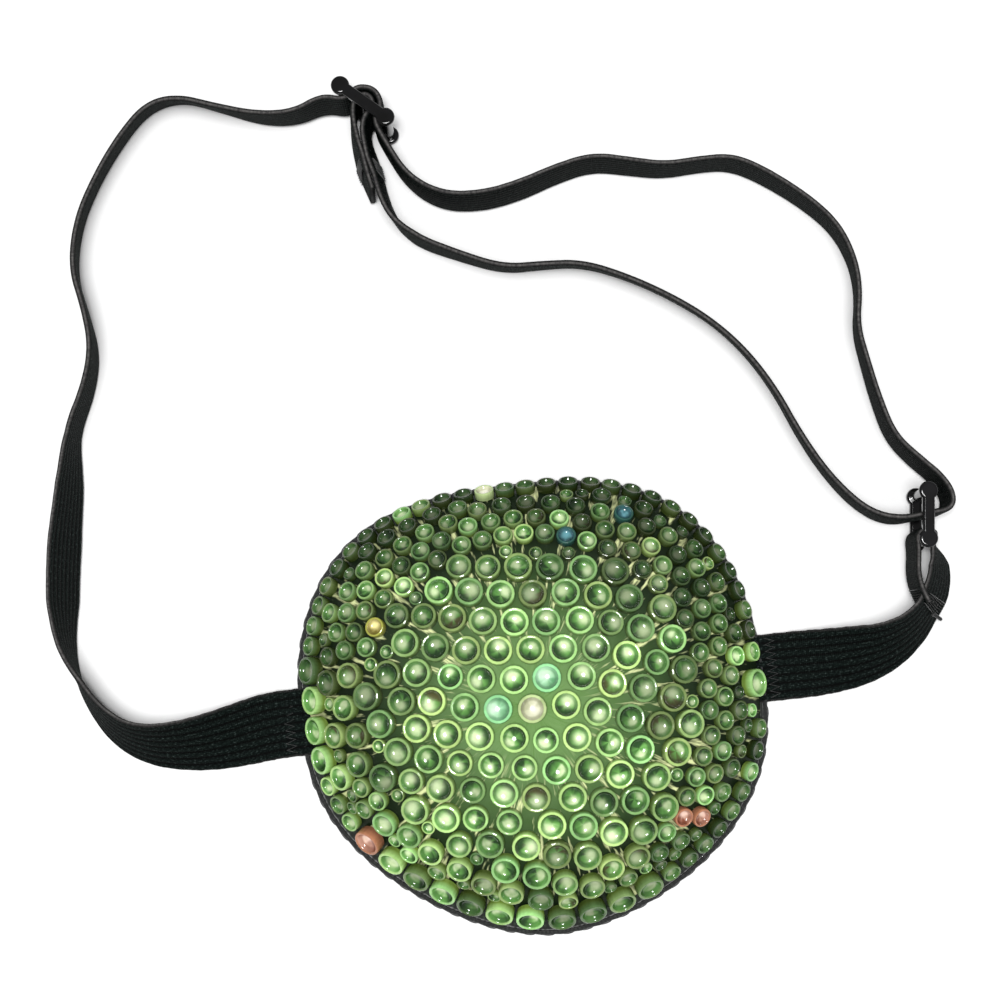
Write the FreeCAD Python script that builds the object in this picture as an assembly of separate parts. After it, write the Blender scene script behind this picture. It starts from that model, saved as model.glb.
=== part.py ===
import FreeCAD, Part
import math
import os

# Rhinestone-covered eye patch on a slide-adjusted elastic head strap. Millimetres, +Z up.
# The patch lies on its flat rim with the dome up. The origin is the middle of the rim on the
# resting plane, +X runs to the short strap and the ring, +Y to the wearer's forehead.

Vector = FreeCAD.Vector

# --- Driving dimensions ---------------------------------------------------------------------
HALF_WIDTH = 35.0          # outline of the covered dome, before the binding
HALF_HEIGHT = 33.6
SQUARENESS = 2.3           # superellipse exponent at the sides
SQUARENESS_RISE = 0.45     # more at the top, less at the bottom
LOW_LEFT_FLAT = 1.5        # the hand-cut outline is this much flatter at the lower left
LOW_LEFT_ANGLE = -140.0
LOW_LEFT_SPREAD = 32.0

RIM_Z = 0.6                # the dome's layers stand on the binding's sole
DOME_HEIGHT = 13.0
PROFILE_ROUND = 2.2        # dome profile (1 - level^a)^(1/b)
PROFILE_FULL = 1.6
BRIM_DEPTH = 0.075         # how far the wall draws in above the brim, as a share
BRIM_LEVEL = 0.22          # height share at which it draws in most
BRIM_ANGLE = -115.0        # the brim is widest towards the lower left

COVER_THICK = 0.45
SHELL_THICK = 1.8
LINING_THICK = 0.5
LAYER_GAP = 0.03
GLUE_THICK = 0.15
BINDING_THICK = 0.5
BINDING_WALL = 1.5
BINDING_SOLE_IN = 3.3
STITCH_COUNT = 72
STITCH_LENGTH = 1.9
STITCH_THICK = 0.28
STITCH_Z = 0.55

STRAP_WIDTH = 10.0
STRAP_THICK = 0.9
STRAP_Y = 2.0              # both straps leave the patch this far above its middle
ROOT_IN = 28.5             # the sewn ends reach in to here
ROOT_OUT = 39.0
CUT_GAP = 0.3              # between solids of one strap that lie on different bodies
EDGE_Z = 1.4               # lower edge of a strap standing on edge, clear of the rails

WIRE_R = 0.8               # bars of the slider and the ring
RAIL_THICK = 1.2
RAIL_WIDTH = 1.8
RAIL_ROUND = 0.4
LOBE_R = 1.4               # round ends of the rails, over the end bars
HARDWARE_HEIGHT = 12.8
SLIDER_PITCH = 4.2         # bar to bar
SLIDER_CENTRE = (-14.75, 93.4)
SLIDER_ANGLE = -42.1
RING_NEAR = (61.0, 18.2)   # bar in the short strap's loop
RING_FAR = (61.9, 25.2)    # bar that the long strap runs round

THREAD_R = 0.17
BARTACK_THREADS = 7
BARTACK_PITCH = 0.36
BARTACK_THREAD_R = 0.15
BARTACK_HEIGHT = 8.6
BARTACK_CLEAR = 0.06
BARTACK_START = 0.25
ROOT_STITCHES = 9
ROOT_STITCH_LENGTH = 1.6
LOOSE_THREAD_LENGTH = 2.4
LOOSE_THREAD_START = (61.6, 7.0, 5.2)
LOOSE_THREAD_RUN = (0.9, -0.35, -0.25)

STONE_LARGE = 4.3
STONE_MEDIUM = 3.9
STONE_SMALL = 3.0
STONE_FILLER = 2.1
STONE_SIDES = 10
STONE_RISE = 0.42          # height as a share of the diameter
STONE_GIRDLE = 0.32        # share of the height below the crown
STONE_TABLE = 0.56         # table's share of the diameter
STONE_LIFT = 0.1           # glue under each stone's flat back
STONE_SPIN = 3.7           # facets turn with the stone's angle round the dome
LARGE_START = 4.9          # first ring's distance down the dome
LARGE_END = 24.6
LARGE_GAP = 0.45           # gap between large stones next to the centre, closing outwards
FIELD_START = 26.3         # the smaller stones begin this far down the dome
FIELD_GAP = 0.05
FILLER_START = 12.0
ROW_STEP = 0.3             # rows are tried this far apart down the dome
ROW_TURN = 31.0            # and each row starts this much further round, in degrees
RIM_TUCK = 0.25            # a rim stone starts this share of its size up from the rim
RIM_LOWEST = 1.65          # no rim stone hangs lower than this, clear of the binding
RIM_OVER_STRAP = 2.05      # or than this where a strap leaves under it

# Routes of the straps in plan, along the middle of the elastic.
TWIST_LEFT = [             # x, y, turn from flat in degrees
    (-39.3, 2.0, 0.0),
    (-44.0, 1.2, 30.0),
    (-48.5, 0.6, 44.0),
    (-53.0, 0.5, 56.0),
    (-57.5, 1.1, 66.0),
    (-61.5, 3.0, 78.0),
    (-64.6, 6.4, 90.0),
]
LEFT_RUN = [
    (-64.6, 6.4),
    (-67.0, 11.0),
    (-68.8, 17.0),
    (-68.6, 24.0),
    (-67.4, 33.0),
    (-65.6, 42.0),
    (-64.6, 49.5),
    (-61.4, 55.8),
    (-59.9, 61.6),
    (-60.6, 67.5),
    (-62.0, 74.0),
    (-60.4, 81.5),
    (-56.8, 88.0),
    (-52.8, 93.4),
    (-48.2, 98.1),
    (-43.0, 99.1),
    (-37.0, 96.6),
    (-31.0, 94.2),
    (-25.5, 93.6),
]
UPPER_BAND = [
    (-9.5, 81.7),
    (-4.6, 78.1),
    (1.6, 77.5),
    (7.5, 78.6),
    (13.0, 80.4),
    (18.8, 81.6),
    (24.5, 80.2),
    (29.5, 79.0),
    (35.0, 79.3),
    (39.8, 79.1),
    (44.5, 76.4),
    (50.4, 71.6),
    (54.4, 67.0),
    (56.3, 61.6),
    (56.5, 56.6),
    (55.4, 51.4),
    (56.1, 46.2),
    (57.0, 40.2),
    (58.4, 34.2),
]
RING_FOLD = [
    (61.6, 30.2),
    (64.4, 27.3),
    (65.8, 24.4),
    (65.2, 22.2),
    (61.6, 22.0),
]
LOWER_BAND = [
    (57.0, 21.6),
    (52.6, 23.9),
    (48.3, 29.4),
    (44.9, 36.1),
    (42.2, 43.2),
    (38.6, 49.6),
    (34.0, 55.0),
    (28.4, 59.4),
    (22.0, 63.3),
    (15.4, 66.2),
    (9.4, 66.6),
    (3.4, 66.7),
    (-3.4, 69.7),
    (-9.6, 72.8),
    (-13.3, 77.4),
]
TWIST_RIGHT = [
    (39.3, 2.0, 0.0),
    (44.0, 1.9, 14.0),
    (49.0, 2.1, 30.0),
    (53.5, 2.8, 50.0),
    (57.6, 4.8, 72.0),
    (60.4, 7.6, 90.0),
]


# --- Small helpers --------------------------------------------------------------------------
def turned(angle, length=1.0):
    """Vector of that length in plan at an angle in degrees."""
    return Vector(length * math.cos(math.radians(angle)), length * math.sin(math.radians(angle)), 0)


def left_of(direction):
    return Vector(-direction.y, direction.x, 0)


def flat(point):
    return Vector(point[0], point[1], 0)


def save(name, shape):
    """Writes one node and says what it holds."""
    shape.exportStep("parts/" + name + ".step")
    print("%-20s solids %3d  volume %9.2f  valid %s"
          % (name, len(shape.Solids), shape.Volume, shape.isValid()))


def angle_away(angle, centre):
    """Difference between two angles in degrees, from -180 to 180."""
    return (angle - centre + 180.0) % 360.0 - 180.0


# --- The dome's surface ---------------------------------------------------------------------
def outline_radius(angle):
    """Distance from the middle to the outline at an angle in degrees."""
    c = abs(math.cos(math.radians(angle)))
    s = abs(math.sin(math.radians(angle)))
    power = SQUARENESS + SQUARENESS_RISE * math.sin(math.radians(angle))
    radius = ((c / HALF_WIDTH) ** power + (s / HALF_HEIGHT) ** power) ** (-1.0 / power)
    away = angle_away(angle, LOW_LEFT_ANGLE) / LOW_LEFT_SPREAD
    return radius - LOW_LEFT_FLAT * math.exp(-away * away)


def profile(level):
    """Height share at a level, from 0 at the top of the dome to 1 at the rim."""
    return max(0.0, 1.0 - level ** PROFILE_ROUND) ** (1.0 / PROFILE_FULL)


def dome_point(level, angle, grow=0.0):
    """Point of the dome, or of the surface a layer's thickness outside (grow > 0) or inside it."""
    share = profile(level)
    u = share / BRIM_LEVEL
    brim = 0.5 + 0.5 * math.cos(math.radians(angle - BRIM_ANGLE))
    reach = level * (1.0 - BRIM_DEPTH * brim * u * math.exp(1.0 - u))
    point = turned(angle, reach * (outline_radius(angle) + grow))
    point.z = RIM_Z + share * (DOME_HEIGHT + grow)
    return point


def dome_normal(level, angle):
    step = 0.004
    low = min(level, 1.0 - 2 * step)
    along = dome_point(low + step, angle) - dome_point(max(low - step, 0.0), angle)
    across = dome_point(low, angle + 1.0) - dome_point(low, angle - 1.0)
    if across.Length < 1e-6:
        return Vector(0, 0, 1)
    return along.cross(across).normalize()


LEVELS = (1.0, 0.985, 0.955, 0.91, 0.85, 0.76, 0.64, 0.5, 0.34, 0.18, 0.05)
OUTLINE_POINTS = 40


def closed_curve(points):
    curve = Part.BSplineCurve()
    curve.interpolate(Points=points, PeriodicFlag=True)
    return Part.Wire([curve.toShape()])


def outline(grow, z):
    """The patch's outline, grown by a distance, as a wire at height z."""
    points = []
    for i in range(OUTLINE_POINTS):
        angle = 360.0 * i / OUTLINE_POINTS
        point = turned(angle, outline_radius(angle) + grow)
        point.z = z
        points.append(point)
    return closed_curve(points)


def dome_solid(grow):
    sections = []
    for level in LEVELS:
        points = []
        for i in range(OUTLINE_POINTS):
            points.append(dome_point(level, 360.0 * i / OUTLINE_POINTS, grow))
        sections.append(closed_curve(points))
    return Part.makeLoft(sections, True, False)


def slab(grow, low, high):
    """Flat-topped solid of the outline."""
    return Part.Face(outline(grow, low)).extrude(Vector(0, 0, high - low))


def root_pocket(side):
    """Room for a strap's sewn end under the dome's edge, side -1 at the left and 1 at the right."""
    length = ROOT_OUT + 2.0 - ROOT_IN
    box = Part.makeBox(length, STRAP_WIDTH + 0.4, STRAP_THICK + 0.15)
    low_x = ROOT_IN - 0.1 if side > 0 else -ROOT_IN + 0.1 - length
    box.translate(Vector(low_x, STRAP_Y - STRAP_WIDTH / 2 - 0.2, RIM_Z))
    return box


# --- Patch layers ---------------------------------------------------------------------------
def make_layers():
    pockets = [root_pocket(-1), root_pocket(1)]
    depth = 0.0
    for name, thick in (
        ("outer_cover", COVER_THICK),
        ("moulded_shell", SHELL_THICK),
        ("lining", LINING_THICK),
    ):
        layer = dome_solid(-depth).cut(dome_solid(-depth - thick))
        for pocket in pockets:
            layer = layer.cut(pocket)
        save(name, layer)
        depth += thick + LAYER_GAP
    glue = dome_solid(LAYER_GAP + GLUE_THICK).cut(dome_solid(LAYER_GAP))
    above = slab(5.0, BINDING_WALL + 0.2, DOME_HEIGHT + 5.0)
    save("glue_bed", glue.common(above))


def make_binding():
    outside = slab(LAYER_GAP + BINDING_THICK, 0.0, BINDING_WALL)
    hollow = slab(-BINDING_SOLE_IN, -1.0, BINDING_WALL + 1.0)
    channel = slab(LAYER_GAP, RIM_Z - LAYER_GAP, BINDING_WALL + 1.0)
    binding = outside.cut(hollow).cut(channel)
    for side in (-1, 1):
        binding = binding.cut(root_pocket(side))
    save("edge_binding", binding)


def make_binding_stitches():
    """A row of lock stitches along the binding's outer wall, clear of the straps."""
    stitches = []
    for i in range(STITCH_COUNT):
        angle = 360.0 * (i + 0.5) / STITCH_COUNT
        radius = outline_radius(angle) + LAYER_GAP + BINDING_THICK + 0.02
        middle = turned(angle, radius)
        if abs(middle.y - STRAP_Y) < STRAP_WIDTH / 2 + 1.5 and abs(middle.x) > HALF_WIDTH / 2:
            continue
        ahead = turned(angle + 1.0, outline_radius(angle + 1.0))
        behind = turned(angle - 1.0, outline_radius(angle - 1.0))
        along = (ahead - behind).normalize()
        start = middle - along * (STITCH_LENGTH / 2)
        start += Vector(along.y, -along.x, 0) * STITCH_THICK
        start.z = STITCH_Z
        stitches.append(Part.makeCylinder(STITCH_THICK / 2, STITCH_LENGTH, start, along))
    save("binding_stitches", Part.makeCompound(stitches))


# --- Straps ---------------------------------------------------------------------------------
def ribbon_side(points, offset):
    """Edges of one side of a ribbon in plan: straight runs joined by tangent arcs.
    Also returns the smallest radius and the length of the line itself."""
    edges = []
    last = None
    smallest = 1e9
    length = 0.0
    for i in range(len(points)):
        here = points[i]
        if i in (0, len(points) - 1):
            other = points[1] if i == 0 else points[i - 1]
            run = (other - here) if i == 0 else (here - other)
            run.normalize()
            end = here + left_of(run) * offset
            if last is not None:
                length += (end - last).Length
                edges.append(Part.LineSegment(last, end).toShape())
            last = end
            continue
        before = here - points[i - 1]
        after = points[i + 1] - here
        shorter = min(before.Length, after.Length)
        before.normalize()
        after.normalize()
        turn = math.atan2(before.cross(after).z, before.dot(after))
        cut = 0.45 * shorter
        radius = cut / math.tan(abs(turn) / 2)
        smallest = min(smallest, radius)
        side = 1.0 if turn > 0 else -1.0
        centre = here - before * cut + left_of(before) * (radius * side)
        reach = radius - side * offset
        start = centre - left_of(before) * (reach * side)
        end = centre - left_of(after) * (reach * side)
        middle = centre + (here - centre).normalize() * reach
        length += (start - last).Length + reach * abs(turn)
        edges.append(Part.LineSegment(last, start).toShape())
        edges.append(Part.Arc(start, middle, end).toShape())
        last = end
    return edges, last, smallest, length


def ribbon(name, route, low_z):
    """Elastic standing on edge along a route in plan."""
    points = [flat(p) for p in route]
    half = STRAP_THICK / 2
    left, left_end, radius, _ = ribbon_side(points, half)
    right, right_end, _, _ = ribbon_side(points, -half)
    length = ribbon_side(points, 0.0)[3]
    first = left[0].Vertexes[0].Point
    second = right[0].Vertexes[0].Point
    caps = [
        Part.LineSegment(left_end, right_end).toShape(),
        Part.LineSegment(first, second).toShape(),
    ]
    wire = Part.Wire(Part.__sortEdges__(left + right + caps))
    face = Part.Face(wire)
    solid = face.extrude(Vector(0, 0, STRAP_WIDTH))
    solid.translate(Vector(0, 0, low_z))
    print("%-20s length %.1f  smallest radius %.1f  volume share %.3f"
          % (name, length, radius, solid.Volume / (length * STRAP_WIDTH * STRAP_THICK)))
    return solid


def twist_section(spot, direction, turn, low_z, rise):
    """Cross-section of the elastic, turned from flat; the edge towards the patch's top lifts."""
    a = math.radians(turn)
    across = left_of(direction) * rise
    wide = across * math.cos(a) + Vector(0, 0, 1) * math.sin(a)
    thin = direction.cross(wide)
    half_w = STRAP_WIDTH / 2
    half_t = STRAP_THICK / 2
    middle = flat(spot)
    middle.z = low_z + half_t * math.cos(a) + half_w * math.sin(a)
    corners = []
    for w, t in ((-1, -1), (1, -1), (1, 1), (-1, 1)):
        corners.append(middle + wide * (w * half_w) + thin * (t * half_t))
    corners.append(corners[0])
    return Part.makePolygon(corners)


def twisted(stations, after, rise):
    """Elastic that leaves the patch flat and turns onto its edge. after is the next route point."""
    sections = []
    last = len(stations) - 1
    for i, (x, y, turn) in enumerate(stations):
        ahead = flat(stations[i + 1]) if i < last else flat(after)
        behind = flat(stations[i - 1]) if 0 < i < last else flat(stations[i])
        direction = (ahead - behind).normalize()
        if i == 0:
            direction = Vector(math.copysign(1.0, x), 0, 0)
        share = turn / 90.0
        low_z = RIM_Z + 0.05 + (EDGE_Z - RIM_Z - 0.05) * share
        sections.append(twist_section((x, y), direction, turn, low_z, rise))
    return Part.makeLoft(sections, True, True)


def slider_point(p, q):
    """A point given along and across the slider, in plan."""
    along = turned(SLIDER_ANGLE)
    point = flat(SLIDER_CENTRE) + along * p + left_of(along) * q
    return (point.x, point.y)


def slider_route():
    """The long strap through the slider: in at one slot, over the centre bar, out at the other."""
    r = WIRE_R + 0.15 + STRAP_THICK + 0.2 + STRAP_THICK / 2
    corner = r * math.tan(math.radians(30))
    return [
        slider_point(-5.9, -2.7),
        slider_point(-r, -1.2),
        slider_point(-r, corner),
        slider_point(0, r / math.cos(math.radians(30))),
        slider_point(r, corner),
        slider_point(r, -1.0),
        slider_point(5.6, -2.6),
    ]


def loop_route():
    """The strap's sewn end: tail, round the centre bar and back down to the lower band."""
    r = WIRE_R + 0.15 + STRAP_THICK / 2
    corner = r * math.tan(math.radians(30))
    return [
        slider_point(8.6, -10.0),
        slider_point(3.8, -6.9),
        slider_point(-r, -1.8),
        slider_point(-r, corner),
        slider_point(0, r / math.cos(math.radians(30))),
        slider_point(r, corner),
        slider_point(r, -2.5),
        slider_point(5.7, -5.9),
        slider_point(8.0, -7.6),
    ]


def short_loop_route():
    """The short strap from where it stands on edge, round the ring's near bar and back."""
    x, y = RING_NEAR
    r = WIRE_R + 0.15 + STRAP_THICK / 2
    corner = r * math.tan(math.radians(30))
    return [
        (60.4, 7.6),
        (62.4, 10.6),
        (63.3, 14.2),
        (x + r, y - 0.6),
        (x + r, y + corner),
        (x, y + r / math.cos(math.radians(30))),
        (x - r, y + corner),
        (x - r, y - 1.4),
        (59.0, 13.4),
        (59.4, 10.6),
        (60.1, 8.9),
    ]


def make_straps():
    left_twist = twisted(TWIST_LEFT, LEFT_RUN[1], -1.0)
    route = LEFT_RUN + slider_route() + UPPER_BAND + RING_FOLD + LOWER_BAND
    loop = loop_route()
    throat = flat(loop[-1])
    toward = (flat(LOWER_BAND[-1]) - throat).normalize()
    end = throat + toward * CUT_GAP
    band = ribbon("long_strap", route + [(end.x, end.y)], EDGE_Z)
    save("long_strap", left_twist.fuse(band))
    save("strap_end_loop", ribbon("strap_end_loop", loop, EDGE_Z))
    right_twist = twisted(TWIST_RIGHT, short_loop_route()[1], 1.0)
    short = ribbon("short_strap", short_loop_route(), EDGE_Z)
    save("short_strap", right_twist.fuse(short))
    for name, side in (("strap_root_left", -1), ("strap_root_right", 1)):
        length = ROOT_OUT - ROOT_IN
        root = Part.makeBox(length, STRAP_WIDTH, STRAP_THICK)
        low_x = ROOT_IN if side > 0 else -ROOT_OUT
        root.translate(Vector(low_x, STRAP_Y - STRAP_WIDTH / 2, RIM_Z + 0.05))
        save(name, root)


# --- Threads --------------------------------------------------------------------------------
def bartack(faces):
    """Rows of upright threads, one row on each face: start, end and side of the elastic under it."""
    threads = []
    reach = STRAP_THICK / 2 + BARTACK_THREAD_R + BARTACK_CLEAR
    for start, end, side in faces:
        direction = (flat(end) - flat(start)).normalize()
        across = left_of(direction) * (side * reach)
        for i in range(BARTACK_THREADS):
            foot = flat(start) + direction * (BARTACK_START + i * BARTACK_PITCH) + across
            foot.z = EDGE_Z + (STRAP_WIDTH - BARTACK_HEIGHT) / 2
            threads.append(Part.makeCylinder(BARTACK_THREAD_R, BARTACK_HEIGHT, foot))
    return Part.makeCompound(threads)


def make_threads():
    loop = loop_route()
    save("end_loop_bartack", bartack(((loop[1], loop[0], -1), (loop[-2], loop[-1], 1))))
    short = short_loop_route()
    save("short_strap_bartack", bartack(((short[0], short[1], -1), (short[-1], short[-2], 1))))
    for name, side in (("root_stitches_left", -1), ("root_stitches_right", 1)):
        threads = []
        for i in range(ROOT_STITCHES):
            y = STRAP_Y + (i - (ROOT_STITCHES - 1) / 2) * STRAP_WIDTH / (ROOT_STITCHES + 0.5)
            x = side * (HALF_WIDTH + BINDING_THICK + 0.5)
            foot = Vector(x, y, RIM_Z + 0.05 + STRAP_THICK + THREAD_R + 0.02)
            run = Vector(side, 0, 0)
            threads.append(Part.makeCylinder(THREAD_R, ROOT_STITCH_LENGTH, foot, run))
        save(name, Part.makeCompound(threads))
    start = Vector(*LOOSE_THREAD_START)
    run = Vector(*LOOSE_THREAD_RUN)
    save("loose_thread", Part.makeCylinder(THREAD_R, LOOSE_THREAD_LENGTH, start, run))


# --- Hardware -------------------------------------------------------------------------------
def rail(length, low_z):
    """Narrow flat rail with a round lobe at each end, from x = 0 to its length."""
    web = Part.makeBox(length, RAIL_WIDTH, RAIL_THICK, Vector(0, -RAIL_WIDTH / 2, 0))
    long_edges = [edge for edge in web.Edges if abs(edge.tangentAt(0).x) > 0.5]
    shape = web.makeFillet(RAIL_ROUND, long_edges)
    for x in (0.0, length):
        lobe = Part.makeCylinder(LOBE_R, RAIL_THICK, Vector(x, 0, 0))
        rims = [edge for edge in lobe.Edges if edge.Curve.TypeId == "Part::GeomCircle"]
        shape = shape.fuse(lobe.makeFillet(RAIL_ROUND, rims))
    shape.translate(Vector(0, 0, low_z))
    return shape


def bar_frame(places, centre, angle):
    """Upright bars at places along a line, joined by a rail below and one above."""
    frame = None
    for low_z in (0.0, HARDWARE_HEIGHT - RAIL_THICK):
        side = rail(max(places) - min(places), low_z)
        side.translate(Vector(min(places), 0, 0))
        frame = side if frame is None else frame.fuse(side)
    for place in places:
        foot = Vector(place, 0, RAIL_THICK / 2)
        bar = Part.makeCylinder(WIRE_R, HARDWARE_HEIGHT - RAIL_THICK, foot)
        frame = frame.fuse(bar)
    frame.rotate(Vector(0, 0, 0), Vector(0, 0, 1), angle)
    frame.translate(flat(centre))
    return frame


def make_hardware():
    places = (-SLIDER_PITCH, 0.0, SLIDER_PITCH)
    save("slider", bar_frame(places, SLIDER_CENTRE, SLIDER_ANGLE))
    span = flat(RING_FAR) - flat(RING_NEAR)
    angle = math.degrees(math.atan2(span.y, span.x))
    save("ring", bar_frame((0.0, span.Length), RING_NEAR, angle))


# --- Rhinestones ----------------------------------------------------------------------------
def stone_solid(size):
    """Flat-backed faceted stone, back on z = 0: girdle, crown facets and table."""
    rows = []
    height = size * STONE_RISE
    for radius, z in (
        (size * 0.485, 0.0),
        (size * 0.5, height * STONE_GIRDLE),
        (size * STONE_TABLE / 2, height),
    ):
        ring = []
        for i in range(STONE_SIDES):
            point = turned(360.0 * i / STONE_SIDES, radius)
            point.z = z
            ring.append(point)
        rows.append(ring)
    faces = []
    for low, high in zip(rows, rows[1:]):
        for i in range(STONE_SIDES):
            j = (i + 1) % STONE_SIDES
            faces.append(Part.Face(Part.makePolygon([low[i], low[j], high[j], high[i], low[i]])))
    for ring in (rows[0], rows[-1]):
        faces.append(Part.Face(Part.makePolygon(ring + [ring[0]])))
    return Part.Solid(Part.makeShell(faces))


LEVEL_STEPS = 160
arc_tables = {}


def level_at(distance, angle):
    """Level reached by going a distance down the dome from its top at an angle."""
    key = int(round(angle)) % 360
    if key not in arc_tables:
        lengths = [0.0]
        last = dome_point(0.0, key)
        for i in range(1, LEVEL_STEPS + 1):
            here = dome_point(i / LEVEL_STEPS, key)
            lengths.append(lengths[-1] + (here - last).Length)
            last = here
        arc_tables[key] = lengths
    lengths = arc_tables[key]
    if distance >= lengths[-1]:
        return 1.0
    i = 1
    while lengths[i] < distance:
        i += 1
    part = (distance - lengths[i - 1]) / (lengths[i] - lengths[i - 1])
    return (i - 1 + part) / LEVEL_STEPS


def rim_distance(angle):
    level_at(0.0, angle)
    return arc_tables[int(round(angle)) % 360][-1]


class Setting:
    """The stones as they are set one after another."""

    def __init__(self):
        self.groups = {}
        self.placed = []

    def seat(self, distance, angle, size):
        """Middle of a stone's back and its direction. It bridges the dome where that is hollow."""
        level = level_at(distance, angle)
        normal = dome_normal(level, angle)
        point = dome_point(level, angle)
        hollow = 0.0
        for reach in (-size / 2, size / 2):
            beside = dome_point(level_at(max(0.0, distance + reach), angle), angle)
            hollow = max(hollow, (beside - point).dot(normal))
        lift = LAYER_GAP + GLUE_THICK + STONE_LIFT + hollow
        return point + normal * lift, normal

    def fits(self, spot, size, gap):
        for other, other_size in self.placed:
            if abs(other.x - spot.x) < 5 and abs(other.y - spot.y) < 5:
                if (other - spot).Length < (size + other_size) / 2 + gap:
                    return False
        return True

    def add(self, group, distance, angle, size, gap=0.0):
        spot, normal = self.seat(distance, angle, size)
        if not self.fits(spot, size, gap):
            return False
        self.placed.append((spot, size))
        self.groups.setdefault(group, []).append((spot, normal, size, angle))
        return True


def is_coarse(angle):
    """True where the setter used bigger stones near the rim: lower left and bottom."""
    return -150.0 < angle_away(angle, 0.0) < -60.0 or abs(angle_away(angle, 178.0)) < 16.0


def over_strap(angle):
    spot = turned(angle, outline_radius(angle))
    return abs(spot.y - STRAP_Y) < STRAP_WIDTH / 2 + 1.5 and abs(spot.x) > HALF_WIDTH / 2


def rim_seat(setting, angle, size):
    """Distance down the dome at which a stone sits as near the rim as it can."""
    limit = RIM_OVER_STRAP if over_strap(angle) else RIM_LOWEST
    distance = rim_distance(angle) - RIM_TUCK * size
    while True:
        spot, normal = setting.seat(distance, angle, size)
        tilt = math.sqrt(max(0.0, 1.0 - normal.z ** 2))
        if spot.z - size / 2 * tilt >= limit:
            return distance
        distance -= 0.1


def set_middle(setting):
    """Large stones from the centre outwards, each as near the centre as the others let it."""
    setting.add("stone_centre", 0.0, 0.0, STONE_LARGE)
    distance = LARGE_START
    row = 0
    while distance < LARGE_END:
        ring = 1 + int((distance - LARGE_START) / STONE_LARGE)
        gap = FIELD_GAP + LARGE_GAP * (1.0 - distance / LARGE_END)
        for i in range(360):
            size = STONE_LARGE if len(setting.placed) % 6 else STONE_MEDIUM
            setting.add("stones_ring_%d" % ring, distance, i + ROW_TURN * row, size, gap)
        distance += ROW_STEP
        row += 1


def set_rim(setting):
    angle = 0.0
    while angle < 360.0:
        bright_end = abs(angle_away(angle, 0.0)) < 8.0
        size = STONE_LARGE if is_coarse(angle) or bright_end else STONE_SMALL
        distance = rim_seat(setting, angle, size)
        setting.add("stones_rim", distance, angle, size, FIELD_GAP)
        angle += 0.5


def set_field(setting, group, size, start, coarse_only):
    """Fills what is free, row by row down the dome."""
    lowest = [rim_seat(setting, angle, size) for angle in range(360)]
    distance = start
    row = 0
    while distance < max(lowest):
        for i in range(360):
            angle = (i + ROW_TURN * row) % 360.0
            if coarse_only and not is_coarse(angle):
                continue
            if distance <= lowest[int(angle)]:
                setting.add(group, distance, angle, size, FIELD_GAP)
        distance += ROW_STEP
        row += 1


def set_stones():
    setting = Setting()
    set_middle(setting)
    set_rim(setting)
    set_field(setting, "stones_field_medium", STONE_MEDIUM, FIELD_START, True)
    set_field(setting, "stones_field_small", STONE_SMALL, FIELD_START, False)
    set_field(setting, "stones_filler", STONE_FILLER, FILLER_START, False)
    return setting


def make_stones():
    setting = set_stones()
    solids = {}
    for group, stones in sorted(setting.groups.items()):
        shapes = []
        for spot, normal, size, angle in stones:
            if size not in solids:
                solids[size] = stone_solid(size)
            shape = solids[size].copy()
            turn = FreeCAD.Rotation(Vector(0, 0, 1), normal)
            spin = FreeCAD.Rotation(Vector(0, 0, 1), angle * STONE_SPIN)
            shape.Placement = FreeCAD.Placement(spot, turn.multiply(spin))
            shapes.append(shape)
        save(group, Part.makeCompound(shapes))
    print("stones in all", len(setting.placed))


os.makedirs("parts", exist_ok=True)
make_layers()
make_binding()
make_binding_stitches()
make_straps()
make_threads()
make_hardware()
make_stones()
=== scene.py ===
import math
import random

import bmesh
import bpy
import numpy as np
from mathutils import Euler, Matrix, Vector


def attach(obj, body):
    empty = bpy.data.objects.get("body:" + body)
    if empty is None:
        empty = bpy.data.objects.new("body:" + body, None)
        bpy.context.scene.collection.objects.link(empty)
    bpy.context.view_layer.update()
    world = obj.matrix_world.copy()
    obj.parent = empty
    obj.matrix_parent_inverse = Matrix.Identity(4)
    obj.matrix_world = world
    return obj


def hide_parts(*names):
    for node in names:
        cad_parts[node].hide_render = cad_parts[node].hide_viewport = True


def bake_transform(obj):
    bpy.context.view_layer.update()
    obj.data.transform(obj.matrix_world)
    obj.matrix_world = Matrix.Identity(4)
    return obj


# Rhinestone-covered eye patch on an elastic head strap. Blender's own units are metres. The routes
# and named sizes below are in millimetres in the model's own frame, and meshes scale them by MM.

MM = 0.001

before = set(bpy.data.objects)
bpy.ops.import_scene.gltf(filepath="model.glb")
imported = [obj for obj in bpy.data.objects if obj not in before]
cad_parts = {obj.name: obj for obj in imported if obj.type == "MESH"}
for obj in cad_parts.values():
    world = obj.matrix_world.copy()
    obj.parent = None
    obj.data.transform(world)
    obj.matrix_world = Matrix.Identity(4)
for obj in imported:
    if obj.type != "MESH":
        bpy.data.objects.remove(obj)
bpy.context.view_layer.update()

# --- Sizes ----------------------------------------------------------------------------------
HALF_WIDTH = 35.0
HALF_HEIGHT = 33.6
SQUARENESS = 2.3
SQUARENESS_RISE = 0.45
LOW_LEFT_FLAT = 1.5
LOW_LEFT_ANGLE = -140.0
LOW_LEFT_SPREAD = 32.0
RIM_Z = 0.6
DOME_HEIGHT = 13.0
PROFILE_ROUND = 2.2
PROFILE_FULL = 1.6
BRIM_DEPTH = 0.075
BRIM_LEVEL = 0.22
BRIM_ANGLE = -115.0

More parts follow.
